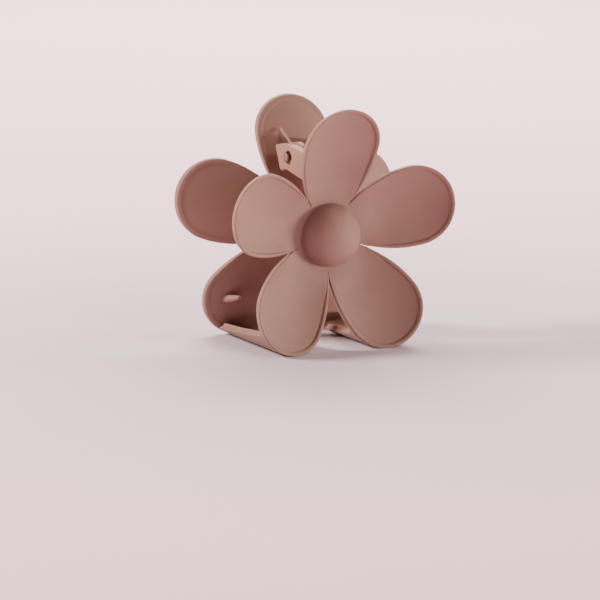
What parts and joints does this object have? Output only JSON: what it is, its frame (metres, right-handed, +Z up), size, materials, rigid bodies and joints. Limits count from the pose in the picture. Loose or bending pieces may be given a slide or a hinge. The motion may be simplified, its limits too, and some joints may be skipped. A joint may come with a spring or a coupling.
{
  "type": "flower hair claw clip",
  "caption": "Claw clip with two back-to-back flower jaws on a sprung hinge pin; curved teeth on the lower petals close on hair.",
  "frame": {"origin": "on the ground midway between the two flower jaws, under the hinge pin", "axes": "+X along the hinge pin, -Y toward the front flower, +Z up toward the finger petals"},
  "size_m": [0.0774, 0.0406, 0.0748],
  "materials": {
    "petals": "satin matte, dusty rose, fine moulded grain",
    "caps": "satin matte, dusty rose",
    "hinge_plastic": "satin matte, dusty rose",
    "pin": "rose gold plating, satin",
    "spring": "spring wire coated to match the plastic"
  },
  "bodies": {
    "front_jaw": {"front_hub": "petals", "front_petal_top": "petals", "front_petal_upper_right": "petals", "front_petal_lower_right": "petals", "front_petal_lower_left": "petals", "front_petal_upper_left": "petals", "front_cap": "caps", "tooth_left": "petals", "tooth_right": "petals", "hinge_arm_left": "hinge_plastic", "hinge_arm_right": "hinge_plastic", "hinge_pin": "pin", "torsion_spring": "spring"},
    "rear_jaw": {"rear_hub": "petals", "rear_petal_top": "petals", "rear_petal_upper_right": "petals", "rear_petal_lower_right": "petals", "rear_petal_lower_left": "petals", "rear_petal_upper_left": "petals", "rear_cap": "caps", "hinge_ear_left": "hinge_plastic", "hinge_ear_right": "hinge_plastic", "grip_peg_left": "petals", "grip_peg_right": "petals"}
  },
  "joints": [
    {"name": "jaw_open", "type": "hinge", "parent": "front_jaw", "child": "rear_jaw", "pos_m": [0, 0, 0.0578], "axis": [1, 0, 0], "range_deg": [0, 40], "stiffness_Nm_per_rad": 0.12, "springref_deg": -34.38, "deforming": ["torsion_spring"]}
  ]
}
